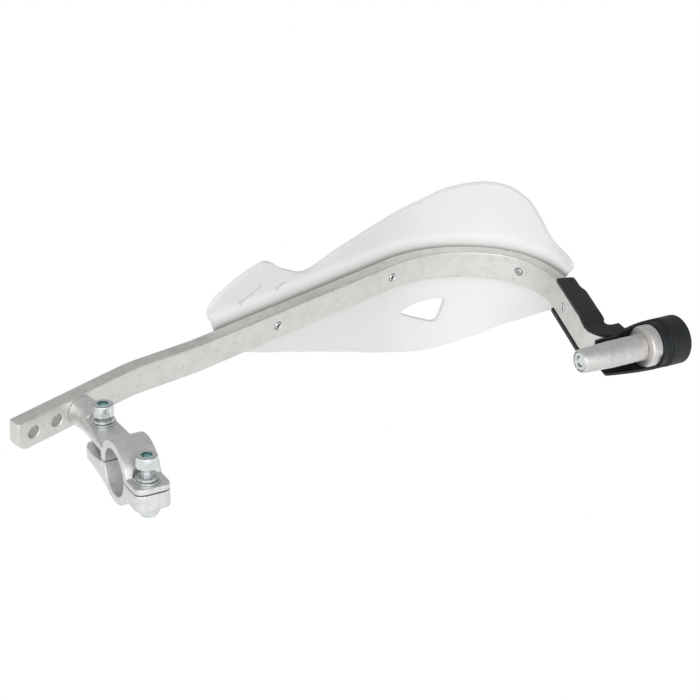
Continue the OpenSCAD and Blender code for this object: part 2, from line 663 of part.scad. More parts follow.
// Bar-end fixing: sleeve, cone nut, collar, bolt and washer on the handlebar axis
module expander_sleeve() {
    r = sleeve_d / 2;
    rt = sleeve_tip_d / 2;
    a = -collar_l;
    b = a - sleeve_l;
    color([0.80, 0.80, 0.79]) insert_frame() difference() {
        x_turn([[bolt_hole_r, a], [r - 0.5, a], [r, a - 0.5], [r, a - sleeve_straight_l],
            [rt, b + 1], [rt - 0.8, b], [rt - 1, b], [bolt_hole_r + 0.4, b + cone_l - 0.5],
            [bolt_hole_r, b + cone_l]]);
        for (t = [0, 90]) rotate([t + 35, 0, 0])
            translate([b - 1, -sleeve_slit / 2, 0]) cube([sleeve_l * 0.55, sleeve_slit, 20]);
    }
}
module cone_nut() {
    rt = sleeve_tip_d / 2;
    b = -collar_l - sleeve_l;
    color([0.62, 0.72, 0.74]) insert_frame()
        x_turn([[bolt_d / 2, b + 0.3], [rt - 1.4, b + 0.3], [rt - 1.2, b + 0.8],
            [bolt_hole_r + 0.3, b + cone_l - 0.9], [bolt_d / 2, b + cone_l - 0.9]]);
}
module spacer_collar() {
    r = collar_d / 2;
    color([0.80, 0.80, 0.79]) insert_frame()
        x_turn([[bolt_hole_r, 0], [r - 1, 0], [r - 0.3, -0.3], [r, -1], [r, -collar_l + 1.5],
            [r - 0.4, -collar_l + 0.5], [r - 1.5, -collar_l], [bolt_hole_r, -collar_l]]);
}
module bar_end_bolt() {
    insert_frame() translate([web_t + 1.5, 0, 0]) rotate([0, 90, 0])
        socket_screw(web_t + 1.5 + collar_l + sleeve_l - 1);
}
module bar_end_washer() {
    color([0.78, 0.80, 0.80]) insert_frame()
        x_turn([[washer_hole_r, web_t], [8, web_t], [8, web_t + 1.5], [washer_hole_r, web_t + 1.5]]);
}

guard_bar();
shield();
end_cover();
clamp_upper();
clamp_lower();
clamp_bolt_front();
clamp_bolt_rear();
spring_washer_front();
spring_washer_rear();
flat_washer_front();
flat_washer_rear();
clamp_nut();
boss_bolt();
boss_washer();
shield_screw(0);  // shield_screw_1
shield_screw(1);  // shield_screw_2
shield_screw(2);  // shield_screw_3
shield_screw(3);  // shield_screw_4
expander_sleeve();
cone_nut();
spacer_collar();
bar_end_bolt();
bar_end_washer();
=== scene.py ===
import json
import math
import bpy
from mathutils import Matrix, Vector


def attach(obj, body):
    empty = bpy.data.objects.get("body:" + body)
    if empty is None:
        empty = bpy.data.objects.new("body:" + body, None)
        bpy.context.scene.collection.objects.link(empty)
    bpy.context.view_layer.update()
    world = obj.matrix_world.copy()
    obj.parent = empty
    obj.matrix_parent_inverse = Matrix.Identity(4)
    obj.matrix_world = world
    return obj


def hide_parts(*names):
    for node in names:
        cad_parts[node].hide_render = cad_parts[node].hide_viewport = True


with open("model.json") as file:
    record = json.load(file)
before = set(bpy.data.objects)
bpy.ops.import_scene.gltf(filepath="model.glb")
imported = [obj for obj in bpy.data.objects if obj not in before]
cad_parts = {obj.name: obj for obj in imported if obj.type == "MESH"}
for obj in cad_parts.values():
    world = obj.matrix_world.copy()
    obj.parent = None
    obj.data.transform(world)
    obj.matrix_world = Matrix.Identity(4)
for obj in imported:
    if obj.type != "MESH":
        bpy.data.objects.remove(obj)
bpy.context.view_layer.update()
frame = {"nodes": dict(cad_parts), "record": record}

nodes = frame["nodes"]
mm = 0.001


# selecting, modifiers and finishing

def clearSelection():
    if bpy.context.mode != "OBJECT":
        bpy.ops.object.mode_set(mode="OBJECT")
    bpy.ops.object.select_all(action="DESELECT")


def chooseOnly(piece):
    clearSelection()
    piece.select_set(True)
    bpy.context.view_layer.objects.active = piece


def editAll(piece, kind="VERT"):
    chooseOnly(piece)
    bpy.ops.object.mode_set(mode="EDIT")
    bpy.ops.mesh.select_mode(type=kind)
    bpy.ops.mesh.select_all(action="SELECT")


def editPicked(piece, kind, test):
    editAll(piece, kind)
    bpy.ops.mesh.select_all(action="DESELECT")
    bpy.ops.object.mode_set(mode="OBJECT")
    mesh = piece.data
    for item in {"VERT": mesh.vertices, "EDGE": mesh.edges, "FACE": mesh.polygons}[kind]:
        item.select = test(item)
    bpy.ops.object.mode_set(mode="EDIT")


def closeSeams(piece):
    editAll(piece)
    bpy.ops.mesh.remove_doubles(threshold=0.00001)
    bpy.ops.mesh.normals_make_consistent(inside=False)
    bpy.ops.object.mode_set(mode="OBJECT")


def useModifier(piece, kind, settings):
    chooseOnly(piece)
    modifier = piece.modifiers.new(kind.lower(), kind)
    for name, value in settings.items():
        setattr(modifier, name, value)
    bpy.ops.object.modifier_apply(modifier=modifier.name)


def placeBy(piece, place):
    chooseOnly(piece)
    piece.matrix_world = place
    bpy.ops.object.transform_apply(location=True, rotation=True, scale=True)


def cutAway(piece, cutter, operation="DIFFERENCE"):
    useModifier(piece, "BOOLEAN", {"operation": operation, "solver": "EXACT", "object": cutter})
    bpy.data.objects.remove(cutter)


def roundEdges(piece, width, segments=2, angle=40):
    useModifier(piece, "BEVEL", {
        "width": width * mm, "segments": segments, "limit_method": "ANGLE",
        "angle_limit": math.radians(angle), "use_clamp_overlap": True})


def smoothShade(piece, angle=35, weighted=True):
    chooseOnly(piece)
    bpy.ops.object.shade_smooth_by_angle(angle=math.radians(angle))
    if weighted:
        useModifier(piece, "WEIGHTED_NORMAL", {"keep_sharp": True})


def finishPiece(piece, name, replaced, looks):
    piece.name = name
    piece.data.name = name
    if len(piece.data.materials) == 0:
        for material in looks:
            piece.data.materials.append(material)
    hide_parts(*replaced)
    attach(piece, "root")


# shapes that several pieces start from

def turnProfile(profile, steps=64, angle=360):
    # one point drawn along (radius, height) in millimetres, then spun about Z
    clearSelection()
    bpy.ops.mesh.primitive_plane_add(size=0.001)
    piece = bpy.context.object
    editAll(piece)
    bpy.ops.mesh.merge(type="CENTER")
    bpy.ops.transform.translate(value=(profile[0][0] * mm, 0, profile[0][1] * mm))
    for a, b in zip(profile, profile[1:]):
        move = ((b[0] - a[0]) * mm, 0, (b[1] - a[1]) * mm)
        bpy.ops.mesh.extrude_region_move(TRANSFORM_OT_translate={"value": move})
    bpy.ops.mesh.select_all(action="SELECT")
    bpy.ops.mesh.spin(steps=steps, angle=math.radians(angle), center=(0, 0, 0), axis=(0, 0, 1))
    closeSeams(piece)
    return piece


def hexRod(acrossFlats, low, high):
    clearSelection()
    bpy.ops.mesh.primitive_cylinder_add(vertices=6, radius=acrossFlats / math.sqrt(3) * mm,
        depth=(high - low) * mm, location=(0, 0, (low + high) / 2 * mm))
    piece = bpy.context.object
    placeBy(piece, piece.matrix_world.copy())
    return piece


def prism(points, push):
    # a closed outline of points in millimetres, pushed out along one vector
    clearSelection()
    bpy.ops.mesh.primitive_circle_add(vertices=len(points), fill_type="NGON")
    piece = bpy.context.object
    for vertex, point in zip(piece.data.vertices, points):
        vertex.co = Vector(point) * mm
    editAll(piece, "FACE")
    bpy.ops.mesh.extrude_region_move(TRANSFORM_OT_translate={"value": Vector(push) * mm})
    closeSeams(piece)
    return piece


def splinePoint(a, b, c, d, u):
    return 0.5 * (2 * b + (c - a) * u + (2 * a - 5 * b + 4 * c - d) * u * u + (3 * b - a - 3 * c + d) * u * u * u)


def closedCurve(points, parts):
    n = len(points)
    curve = []
    for i in range(n):
        for j in range(parts):
            around = [points[(i + k) % n] for k in (-1, 0, 1, 2)]
            curve.append(tuple(splinePoint(*[p[axis] for p in around], j / parts) for axis in (0, 1)))
    return curve


def edgeAt(points, s):
    i = 0
    while i < len(points) - 2 and s > points[i + 1][0]:
        i += 1
    around = [points[max(i - 1, 0)][1], points[i][1], points[i + 1][1], points[min(i + 2, len(points) - 1)][1]]
    return splinePoint(*around, (s - points[i][0]) / (points[i + 1][0] - points[i][0]))


# the bar's centre line in its own plane, in millimetres and degrees

barSettings = {
    "height": 16, "thickness": 7, "edgeRound": 0.9, "cornerRound": 6,
    "bank": 10, "drop": 6.4, "lead": 20, "bossFace": (-1, 59.3), "tail": 37,
    "holePitch": 14, "holeWidth": 6.5, "endBend": 105, "endRadius": 10, "endLength": 3,
    "axisGap": 12.8, "endLow": 2.5, "screws": (127, 211.3, 292.9, 338.1), "webGap": 7.2,
    "holeFlare": 2.4, "screwHole": 2.05, "tipHole": 2.25, "lowEndFrom": 240, "lowEndReach": 90,
}
barSteps = [(66.4, 0, 0), (0, 9, 71), (30.4, 0, 0), (0, -4.5, 71), (135.8, 0, 0), (0, 48.5, 77), (0, 72, 39.5)]


def stepLength(step):
    return step[0] if step[1] == 0 else abs(math.radians(step[1])) * step[2]


def afterStep(pose, step, share=1.0):
    x, y, heading = pose
    if step[1] == 0:
        return (x + share * step[0] * math.cos(heading), y + share * step[0] * math.sin(heading), heading)
    side = 1 if step[1] > 0 else -1
    turn = math.radians(step[1]) * share
    cx, cy = x + side * step[2] * math.sin(heading), y - side * step[2] * math.cos(heading)
    heading -= turn
    return (cx - side * step[2] * math.sin(heading), cy + side * step[2] * math.cos(heading), heading)


lead = math.radians(barSettings["lead"])
half = barSettings["thickness"] / 2
barStart = (
    barSettings["bossFace"][0] - math.sin(lead) * half - math.cos(lead) * barSettings["tail"],
    barSettings["bossFace"][1] + math.cos(lead) * half - math.sin(lead) * barSettings["tail"], lead)
legStart = barStart
for step in barSteps:
    legStart = afterStep(legStart, step)
endBend = math.radians(barSettings["endBend"])
legDrop = legStart[1] - barSettings["axisGap"] - half - barSettings["endRadius"] * (1 - math.cos(endBend))
barSteps += [
    (legDrop / math.sin(endBend), 0, 0), (0, -barSettings["endBend"], barSettings["endRadius"]),
    (barSettings["endLength"], 0, 0)]
barLength = sum(stepLength(step) for step in barSteps)
barBank = Matrix.Rotation(math.radians(barSettings["bank"]), 4, "X")
barFrame = barBank @ Matrix.Translation((0, 0, -barSettings["drop"] * mm))


def station(s):
    # place and heading at a distance from the boss hole
    s += barSettings["tail"]
    pose = barStart
    for step in barSteps:
        if s <= stepLength(step):
            return afterStep(pose, step, s / stepLength(step))
        s -= stepLength(step)
        pose = afterStep(pose, step)
    return pose


def outwardAt(s):
    # Z points outward from the bar's centre line, away from the rider
    x, y, heading = station(s)
    place = Matrix.Translation((x * mm, y * mm, 0)) @ Matrix.Rotation(heading, 4, "Z")
    return place @ Matrix.Rotation(-math.pi / 2, 4, "X")


def stationPoint(s, n):
    x, y, heading = station(s)
    return (x - n * math.sin(heading), y + n * math.cos(heading))


endX = station(barLength - barSettings["tail"])[0]
webFace = barFrame @ Matrix.Translation(((endX + barSettings["webGap"]) * mm, 0, barSettings["drop"] * mm))
insertFrame = webFace @ Matrix.Rotation(math.pi / 2, 4, "Y")
print("bar is", round(barLength, 1), "mm long")


# colours and shader nodes

def linearColour(hexText):
    values = []
    for i in (0, 2, 4):
        c = int(hexText[i:i + 2], 16) / 255
        values.append(c / 12.92 if c <= 0.04045 else ((c + 0.055) / 1.055) ** 2.4)
    return (values[0], values[1], values[2], 1.0)


def addNode(tree, kind, settings=None, inputs=None, links=None):
    node = tree.nodes.new(kind)
    for name, value in (settings or {}).items():
        setattr(node, name, value)
    for name, value in (inputs or {}).items():
        node.inputs[name].default_value = value
    for name, source in (links or {}).items():
        tree.links.new(source, node.inputs[name])
    return node


def startMaterial(name):
    material = bpy.data.materials.new(name)
    material.use_nodes = True
    tree = material.node_tree
    shader = tree.nodes["Principled BSDF"]
    place = addNode(tree, "ShaderNodeTexCoord").outputs["Object"]
    return material, tree, shader, place


def ramp(tree, source, stops):
    node = addNode(tree, "ShaderNodeValToRGB", links={"Fac": source})
    elements = node.color_ramp.elements
    while len(elements) < len(stops):
        elements.new(0.5)
    for element, (position, colour) in zip(elements, stops):
        element.position = position
        element.color = linearColour(colour) if isinstance(colour, str) else (colour, colour, colour, 1)
    return node.outputs["Color"]


# bar: extruded 6000-series aluminium, bent and tumbled, so it is satin with faint cloudy spots
def barAluminium():
    material, tree, shader, place = startMaterial("bar aluminium, extruded and tumbled")
    clouds = addNode(tree, "ShaderNodeTexNoise", inputs={"Scale": 140, "Detail": 6, "Roughness": 0.65},
        links={"Vector": place})
    spots = addNode(tree, "ShaderNodeTexNoise", inputs={"Scale": 420, "Detail": 2, "Roughness": 0.5},
        links={"Vector": place})
    fine = addNode(tree, "ShaderNodeTexNoise", inputs={"Scale": 1500, "Detail": 3}, links={"Vector": place})
    base = ramp(tree, clouds.outputs["Fac"], [(0.36, "DAD9D6"), (0.5, "E1E0DD"), (0.64, "E6E5E2")])
    dark = ramp(tree, spots.outputs["Fac"], [(0.25, "E2E1DF"), (0.36, "FFFFFF")])
    mixed = addNode(tree, "ShaderNodeMix", {"data_type": "RGBA", "blend_type": "MULTIPLY"}, {0: 1.0},
        {6: base, 7: dark})
    tree.links.new(mixed.outputs[2], shader.inputs["Base Color"])
    tree.links.new(ramp(tree, clouds.outputs["Fac"], [(0.3, 0.46), (0.7, 0.56)]), shader.inputs["Roughness"])
    bump = addNode(tree, "ShaderNodeBump", inputs={"Strength": 0.15, "Distance": 0.0001},
        links={"Height": fine.outputs["Fac"]})
    tree.links.new(bump.outputs["Normal"], shader.inputs["Normal"])
    shader.inputs["Metallic"].default_value = 1
    return material


# clamp: pressure die-cast aluminium, blasted, finely grained and a little greyer
def castAluminium():
    material, tree, shader, place = startMaterial("clamp aluminium, die cast and blasted")
    grain = addNode(tree, "ShaderNodeTexNoise", inputs={"Scale": 1300, "Detail": 4}, links={"Vector": place})
    clouds = addNode(tree, "ShaderNodeTexNoise", inputs={"Scale": 200, "Detail": 5, "Roughness": 0.6},
        links={"Vector": place})
    tree.links.new(ramp(tree, clouds.outputs["Fac"], [(0.36, "DAD9D8"), (0.5, "E3E2E1"), (0.64, "E9E8E7")]),
        shader.inputs["Base Color"])
    tree.links.new(ramp(tree, grain.outputs["Fac"], [(0.3, 0.42), (0.7, 0.56)]), shader.inputs["Roughness"])
    bump = addNode(tree, "ShaderNodeBump", inputs={"Strength": 0.3, "Distance": 0.00015},
        links={"Height": grain.outputs["Fac"]})
    tree.links.new(bump.outputs["Normal"], shader.inputs["Normal"])
    shader.inputs["Metallic"].default_value = 1
    return material


# insert: turned aluminium, tumbled after turning, so the rings are faint under a dull mottle
def turnedAluminium():
    material, tree, shader, place = startMaterial("insert aluminium, turned and tumbled")
    rings = addNode(tree, "ShaderNodeTexWave", {"bands_direction": "X"},
        {"Scale": 700, "Distortion": 1.2, "Detail": 2}, {"Vector": place})
    mottle = addNode(tree, "ShaderNodeTexNoise", inputs={"Scale": 300, "Detail": 5, "Roughness": 0.65},
        links={"Vector": place})
    tree.links.new(ramp(tree, mottle.outputs["Fac"], [(0.35, "D2D0CE"), (0.65, "E2E0DE")]),
        shader.inputs["Base Color"])
    both = addNode(tree, "ShaderNodeMath", {"operation": "MULTIPLY_ADD"}, {1: 0.25},
        {0: rings.outputs["Fac"], 2: mottle.outputs["Fac"]})
    bump = addNode(tree, "ShaderNodeBump", inputs={"Strength": 0.25, "Distance": 0.00015},
        links={"Height": both.outputs[0]})
    tree.links.new(bump.outputs["Normal"], shader.inputs["Normal"])
    shader.inputs["Metallic"].default_value = 1
    shader.inputs["Roughness"].default_value = 0.56
    return material


# screws: clear zinc plate with a bluish chromate, bright but not polished
def zincSteel():
    material, tree, shader, place = startMaterial("screw steel, blue zinc plated")
    clouds = addNode(tree, "ShaderNodeTexNoise", inputs={"Scale": 500, "Detail": 3}, links={"Vector": place})
    tree.links.new(ramp(tree, clouds.outputs["Fac"], [(0.35, "CCD2D3"), (0.65, "E2E6E6")]),
        shader.inputs["Base Color"])
    tree.links.new(ramp(tree, clouds.outputs["Fac"], [(0.3, 0.22), (0.7, 0.34)]), shader.inputs["Roughness"])
    shader.inputs["Metallic"].default_value = 1
    return material


# sockets: the chromate lies thicker in the forged hexagon, so it looks sea green there
def socketChromate():
    material, tree, shader, place = startMaterial("screw socket, thick blue chromate")
    clouds = addNode(tree, "ShaderNodeTexNoise", inputs={"Scale": 700, "Detail": 2}, links={"Vector": place})
    tree.links.new(ramp(tree, clouds.outputs["Fac"], [(0.35, "8FB2AF"), (0.65, "B4CFCC")]),
        shader.inputs["Base Color"])
    shader.inputs["Metallic"].default_value = 1
    shader.inputs["Roughness"].default_value = 0.32
    return material


# shield: injection-moulded natural polypropylene, milky and slightly see-through
def shieldPlastic():
    material, tree, shader, place = startMaterial("shield polypropylene, moulded natural")
    clouds = addNode(tree, "ShaderNodeTexNoise", inputs={"Scale": 30, "Detail": 3}, links={"Vector": place})
    milky = ramp(tree, clouds.outputs["Fac"], [(0.3, "F1F1F0"), (0.7, "F4F4F3")])
    # painted shade: next to the bar the wall is greyed in its colour, standing in for the shadow in the groove
    # between the bar and the shield
    fold = addNode(tree, "ShaderNodeAttribute", {"attribute_name": "fold"})
    paintedShadeTone = addNode(tree, "ShaderNodeMix", {"data_type": "RGBA", "blend_type": "MIX"},
        {7: linearColour("A9A7A4")}, {0: fold.outputs["Fac"], 6: milky})
    tree.links.new(paintedShadeTone.outputs[2], shader.inputs["Base Color"])
    shader.inputs["Roughness"].default_value = 0.42
    shader.inputs["IOR"].default_value = 1.49
    shader.inputs["Subsurface Weight"].default_value = 0.4
    shader.inputs["Subsurface Radius"].default_value = (0.003, 0.003, 0.003)
    shader.inputs["Subsurface Scale"].default_value = 1
    return material


# cover: injection-moulded black polypropylene with a fine spark-eroded grain
def blackPlastic():
    material, tree, shader, place = startMaterial("cover polypropylene, moulded black")
    grain = addNode(tree, "ShaderNodeTexNoise", inputs={"Scale": 2200, "Detail": 3}, links={"Vector": place})
    clouds = addNode(tree, "ShaderNodeTexNoise", inputs={"Scale": 120, "Detail": 3}, links={"Vector": place})
    tree.links.new(ramp(tree, clouds.outputs["Fac"], [(0.3, "0B1114"), (0.7, "12191D")]),
        shader.inputs["Base Color"])
    tree.links.new(ramp(tree, clouds.outputs["Fac"], [(0.3, 0.5), (0.7, 0.6)]), shader.inputs["Roughness"])
    bump = addNode(tree, "ShaderNodeBump", inputs={"Strength": 0.2, "Distance": 0.0001},
        links={"Height": grain.outputs["Fac"]})
    tree.links.new(bump.outputs["Normal"], shader.inputs["Normal"])
    shader.inputs["IOR"].default_value = 1.49
    return material


barLook = barAluminium()
castLook = castAluminium()
turnedLook = turnedAluminium()
zincLook = zincSteel()
socketLook = socketChromate()
shieldLook = shieldPlastic()
blackLook = blackPlastic()
slotLooks = {"bar_aluminium": barLook, "cast_aluminium": castLook, "turned_aluminium": turnedLook,
    "zinc_steel": zincLook, "shield_plastic": shieldLook, "black_plastic": blackLook}
for part in frame["record"]["subparts"]:
    mesh = nodes[part["node"]].data
    mesh.materials.clear()
    mesh.materials.append(slotLooks[part["material_slot"]])
print("materials made")


# guard bar: its section extruded along the straights and spun round the bends

def makeBar():
    clearSelection()
    x, y, heading = barStart
    bpy.ops.mesh.primitive_plane_add(size=1, location=(x * mm, y * mm, 0),
        rotation=(math.pi / 2, 0, math.pi / 2 + heading))
    bar = bpy.context.object
    bar.scale = (barSettings["thickness"] * mm, barSettings["height"] * mm, 1)
    bpy.ops.object.transform_apply(location=True, rotation=True, scale=True)
    editAll(bar, "FACE")
    pose = barStart
    for step in barSteps:
        x, y, heading = pose
        if step[1] == 0:
            move = (step[0] * math.cos(heading) * mm, step[0] * math.sin(heading) * mm, 0)
            bpy.ops.mesh.extrude_region_move(TRANSFORM_OT_translate={"value": move})
        else:
            side = 1 if step[1] > 0 else -1
            centre = ((x + side * step[2] * math.sin(heading)) * mm,
                (y - side * step[2] * math.cos(heading)) * mm, 0)
            bpy.ops.mesh.spin(steps=max(3, round(abs(step[1]) / 2.5)), angle=math.radians(step[1]),
                center=centre, axis=(0, 0, 1))
        pose = afterStep(pose, step)
    closeSeams(bar)
    low = -barSettings["height"] / 2 * mm
    along = Vector((math.cos(barStart[2]), math.sin(barStart[2]), 0))
    start = Vector((barStart[0] * mm, barStart[1] * mm, 0))

    def atCorner(edge):
        ends = [bar.data.vertices[i].co for i in edge.vertices]
        return all(abs(p.z - low) < 1e-6 and abs((p - start).dot(along)) < 1e-5 for p in ends)
    editPicked(bar, "EDGE", atCorner)
    bpy.ops.mesh.bevel(offset=barSettings["cornerRound"] * mm, segments=8, affect="EDGES")
    bpy.ops.mesh.select_all(action="DESELECT")
    bpy.ops.mesh.edges_select_sharp(sharpness=math.radians(60))
    bpy.ops.mesh.bevel(offset=barSettings["edgeRound"] * mm, segments=3, affect="EDGES")
    bpy.ops.object.mode_set(mode="OBJECT")
    t, r = barSettings["thickness"] / 2, barSettings["holeWidth"] / 2
    wide = r + barSettings["holeFlare"]
    for i in range(3):
        drill = turnProfile([
            (0, -t - 2), (wide, -t - 2), (r, -t + 0.4), (r, t - 0.4), (wide, t + 2), (0, t + 2)], 48)
        placeBy(drill, outwardAt(-i * barSettings["holePitch"]))
        cutAway(bar, drill)
    hole, tipHole = barSettings["screwHole"], barSettings["tipHole"]
    for s in barSettings["screws"]:
        drill = turnProfile([
            (0, -t - 1), (2.8, -t - 0.3), (tipHole, -t + 0.25), (tipHole, -t + 2), (hole, -t + 2.2),
            (hole, t + 1), (0, t + 1)], 32)
        placeBy(drill, outwardAt(s))
        cutAway(bar, drill)
    top = barSettings["height"] / 2 - barSettings["endLow"]
    y = barSettings["axisGap"] + barSettings["thickness"] + 4
    x, full = barSettings["lowEndFrom"], top + barSettings["endLow"] + 0.01
    outline = [(x, 0, top), (x, y, top), (x, y + 10, full), (x, y + 10, 40), (x, 0, 40)]
    cutAway(bar, prism(outline, (barSettings["lowEndReach"], 0, 0)))
    placeBy(bar, barFrame)
    smoothShade(bar)
    finishPiece(bar, "guardBar", ["guard_bar"], [barLook])


makeBar()
print("bar made")


# shield: a grid laid along the bar, given its wall, then its vent, slits and screw seats

shieldSettings = {
    "wall": 2.5, "seatGap": 0.1, "shelf": 7.75, "bladeCurl": 150, "skirtCurl": 120, "seatLow": -8,
    "start": 88, "bladeStart": 92.5, "end": 317.5, "crest": 45.5, "lobe": 30.5, "dip": 14, "skirt": 54,
    "turn": 2.2, "bend": 1.6, "sag": 4.5, "lip": 0.7, "columns": 150, "rows": 46, "wallRow": 27, "slantRows": 6,
    "vent": [(226, -30), (234, -26.8), (244, -25.2), (251.5, -25.6), (252.8, -28.2), (248.6, -38.6),
             (238.5, -36.6), (230, -33)],
    "slits": [((113, 11.9), (127, 16.9), 3), ((138.4, 11.4), (144.4, 13.2), 1.6)],  # two ends and the width
    "cutFrom": 210, "cutReach": -200, "screwHead": 4.3,
}
sectionRows = {"blade": 13, "turn": 4, "shelf": 4, "bend": 5, "wall": 4}
seatLow = shieldSettings["seatLow"]
wallN = barSettings["thickness"] / 2 + shieldSettings["seatGap"] + shieldSettings["wall"] / 2
bladeN = wallN + shieldSettings["shelf"]
shelfZ = barSettings["height"] / 2 + shieldSettings["wall"] / 2
crest, lobe, dip, skirt = [shieldSettings[k] for k in ("crest", "lobe", "dip", "skirt")]
# the blade's top edge, the skirt's low edge and the shelf's depth, each beside its distance along the bar
bladeEdge = [
    (92.5, 14.5), (95, 18), (98.2, 20.8), (108.2, lobe - 4.8), (122.8, lobe), (130, lobe - 0.4),
    (142.1, dip + 7.4), (159, dip), (182.4, dip + 5.8), (215, dip + 13.2), (234.3, crest - 11.5),
    (249, crest - 4.1), (267, crest), (279.7, crest - 1.5), (289.8, crest - 8.8), (296.1, crest - 19),
    (300.7, 19.1), (305, 15.6), (312, 14.1), (316.5, 12.8), (319, 10.8)]
skirtEdge = [
    (88, -9.5), (100, -10), (124, 35 - skirt), (151, 25.5 - skirt), (188, 13 - skirt), (212, 4.5 - skirt),
    (233, -skirt), (251, 0.5 - skirt), (273, 7 - skirt), (285, -40), (297, -32.3), (305, -25.6),
    (312, -19.5), (319, -14)]
shelfDepth = [(88, 7.75), (290, 7.75), (303, 7.25), (312, 6), (319, 4.5)]


def bladeAt(z):
    return bladeN - (z - shelfZ) ** 2 / (2 * shieldSettings["bladeCurl"])


def skirtAt(z):
    return wallN - (z - seatLow) ** 2 / (2 * shieldSettings["skirtCurl"])


def shieldN(z):
    return bladeAt(z) if z > shelfZ else bladeN if z > 0 else wallN if z > seatLow else skirtAt(z)


def shieldSection(s):
    # wall's middle line, top edge to skirt, as (distance from the bar's centre line, height)
    top, low = edgeAt(bladeEdge, max(s, shieldSettings["bladeStart"])), edgeAt(skirtEdge, s)
    depth = edgeAt(shelfDepth, s)
    back = shieldSettings["shelf"] - depth
    turn = min(shieldSettings["turn"], (top - shelfZ) * 0.5)
    bend = min(shieldSettings["bend"], max(0.4, depth - turn))
    sag = shieldSettings["sag"] * min(1, (depth - turn) / (shieldSettings["shelf"] - shieldSettings["turn"]))
    parts = sectionRows["blade"]
    line = [(bladeAt(z) - back, z) for z in [top + (shelfZ + turn - top) * i / parts for i in range(parts + 1)]]
    n = bladeN - back
    parts = sectionRows["turn"]
    for i in range(1, parts + 1):
        a = math.radians(90 * i / parts)
        line.append((n - turn * (1 - math.cos(a)), shelfZ + turn * (1 - math.sin(a))))
    inner, fold = wallN + bend, shelfZ - sag  # the shelf dips behind the bar, so a dark groove stays open
    parts = sectionRows["shelf"]
    for i in range(1, parts + 1):
        a = math.radians(90 * i / parts)
        line.append((inner + (n - turn - inner) * (1 - i / parts), shelfZ - sag * math.sin(a) ** 2))
    parts = sectionRows["bend"]
    for i in range(1, parts + 1):
        a = math.radians(90 * i / parts)
        line.append((inner - bend * math.sin(a), fold - bend * (1 - math.cos(a))))
    parts = sectionRows["wall"]
    line += [(wallN, fold - bend + (seatLow - fold + bend) * i / parts) for i in range(1, parts)]
    rest = shieldSettings["rows"] + 1 - len(line)
    line += [(skirtAt(z), z) for z in [seatLow + (low - seatLow) * i / (rest - 1) for i in range(rest)]]
    return line


# painted shade: the shield's colour is greyed on these rows, standing in for the shadow in the groove between bar
# and shield
paintedGrooveShade = {  # the grid's rows next to the bar, and how grey each is
    18: 0.12, 19: 0.35, 20: 0.75, 21: 1, 22: 1, 23: 1, 24: 0.9, 25: 0.7, 26: 0.4, 27: 0.2,
}


def makeShield():
    columns, rows = shieldSettings["columns"], shieldSettings["rows"]
    clearSelection()
    bpy.ops.mesh.primitive_grid_add(x_subdivisions=columns, y_subdivisions=rows, size=1)
    shield = bpy.context.object
    rowOf = []
    for vertex in shield.data.vertices:
        i, j = round((vertex.co.x + 0.5) * columns), round((0.5 - vertex.co.y) * rows)
        slant = min(1, max(0, (shieldSettings["wallRow"] - j) / shieldSettings["slantRows"]))
        first = shieldSettings["start"] + (shieldSettings["bladeStart"] - shieldSettings["start"]) * slant
        s = first + (shieldSettings["end"] - first) * i / columns
        n, z = shieldSection(s)[j]
        rowOf.append(j)
        x, y = stationPoint(s, n)
        vertex.co = Vector((x, y, z)) * mm
    # painted shade: each vertex takes its row's grey weight, which the shield's colour reads to paint the
    # groove's shadow
    fold = shield.data.attributes.new("fold", "FLOAT", "POINT")
    for vertex, j in zip(shield.data.vertices, rowOf):
        fold.data[vertex.index].value = paintedGrooveShade.get(j, 0)
    useModifier(shield, "SOLIDIFY", {
        "thickness": shieldSettings["wall"] * mm, "offset": 0, "use_even_offset": True})
    closeSeams(shield)
    cutFrom, cutPush = shieldSettings["cutFrom"], (0, shieldSettings["cutReach"], 0)
    outline = [(stationPoint(s, shieldN(z))[0], z) for s, z in shieldSettings["vent"]]
    cutAway(shield, prism([(x, cutFrom, z) for x, z in closedCurve(outline, 6)], cutPush))
    for a, b, width in shieldSettings["slits"]:
        ends = [Vector((stationPoint(s, shieldN(z))[0], z)) for s, z in (a, b)]
        along = (ends[1] - ends[0]).normalized() * width / 2
        across = Vector((-along.y, along.x))
        tip = along * 0.6
        outline = [
            ends[0] - across, ends[1] - across, ends[1] + tip, ends[1] + across, ends[0] + across, ends[0] - tip]
        cutAway(shield, prism([(p.x, cutFrom, p.y) for p in outline], cutPush))
    seat = barSettings["thickness"] / 2 + shieldSettings["seatGap"] + shieldSettings["wall"] - 0.4
    hole, head = barSettings["screwHole"], shieldSettings["screwHead"]
    for s in barSettings["screws"][:3]:
        drill = turnProfile([(0, 0), (hole, 0), (hole, seat), (head, seat), (4.5, seat + 4), (0, seat + 4)], 40)
        placeBy(drill, outwardAt(s))
        cutAway(shield, drill)
    roundEdges(shield, shieldSettings["lip"], 3, 50)
    placeBy(shield, barFrame)
    smoothShade(shield, 40)
    finishPiece(shield, "shieldShell", ["shield"], [shieldLook])


makeShield()
print("shield made")


# moulded and cast pieces: the CAD shape with the soft edges that a mould leaves

def ringSector(inner, outer, first, last, low, high):
    # part of a ring round the insert's axis: 0 degrees is below it, 90 towards the rider, 180 above
    angles = [math.radians(first + (last - first) * i / 24) for i in range(25)]
    outline = [(outer * math.cos(a), -outer * math.sin(a), low) for a in angles]
    outline += [(inner * math.cos(a), -inner * math.sin(a), low) for a in reversed(angles)]
    sector = prism(outline, (0, 0, high - low))
    placeBy(sector, insertFrame)
    return sector


